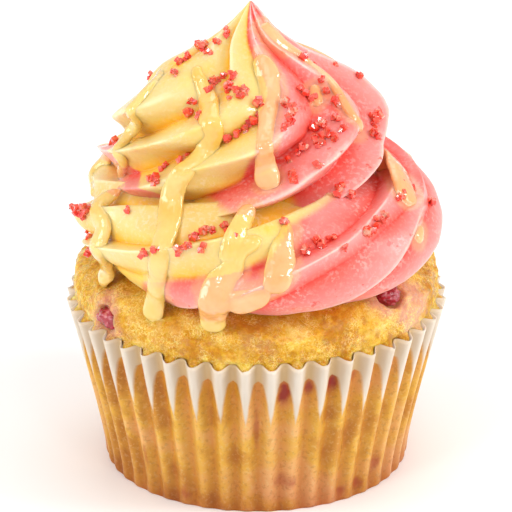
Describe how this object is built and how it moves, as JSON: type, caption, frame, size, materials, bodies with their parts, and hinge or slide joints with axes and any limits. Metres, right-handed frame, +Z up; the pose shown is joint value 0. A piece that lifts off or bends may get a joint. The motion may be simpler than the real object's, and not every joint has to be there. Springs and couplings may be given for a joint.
{
  "type": "cupcake",
  "caption": "Sponge cupcake in a pleated paper case, topped with a two-colour piped frosting swirl, syrup drizzle and red sugar grains, with berry pieces in the cake.",
  "frame": {"origin": "middle of the underside of the paper case, on the surface that the cupcake stands on", "axes": "+Z up through the swirl's peak, the front seen in the picture faces -Y, +X to the right of the front"},
  "size_m": [0.0656, 0.0677, 0.0838],
  "materials": {
    "case_paper": "thin greaseproof paper, matt white at the rim and see-through where it lies on the cake",
    "sponge": "golden crumbly sponge with a moist, slightly sugary crust",
    "berry": "wet dark red fruit",
    "frosting": "smooth satin cream, pale yellow on one side and pink on the other",
    "frosting_pink": "smooth satin cream, pink",
    "syrup": "clear pale caramel syrup, very glossy",
    "sugar_grain": "clear red sugar crystals"
  },
  "bodies": {
    "root": {"paper_case": "case_paper", "cake": "sponge", "berry_left": "berry", "berry_right": "berry", "frosting": "frosting"}
  },
  "joints": []
}
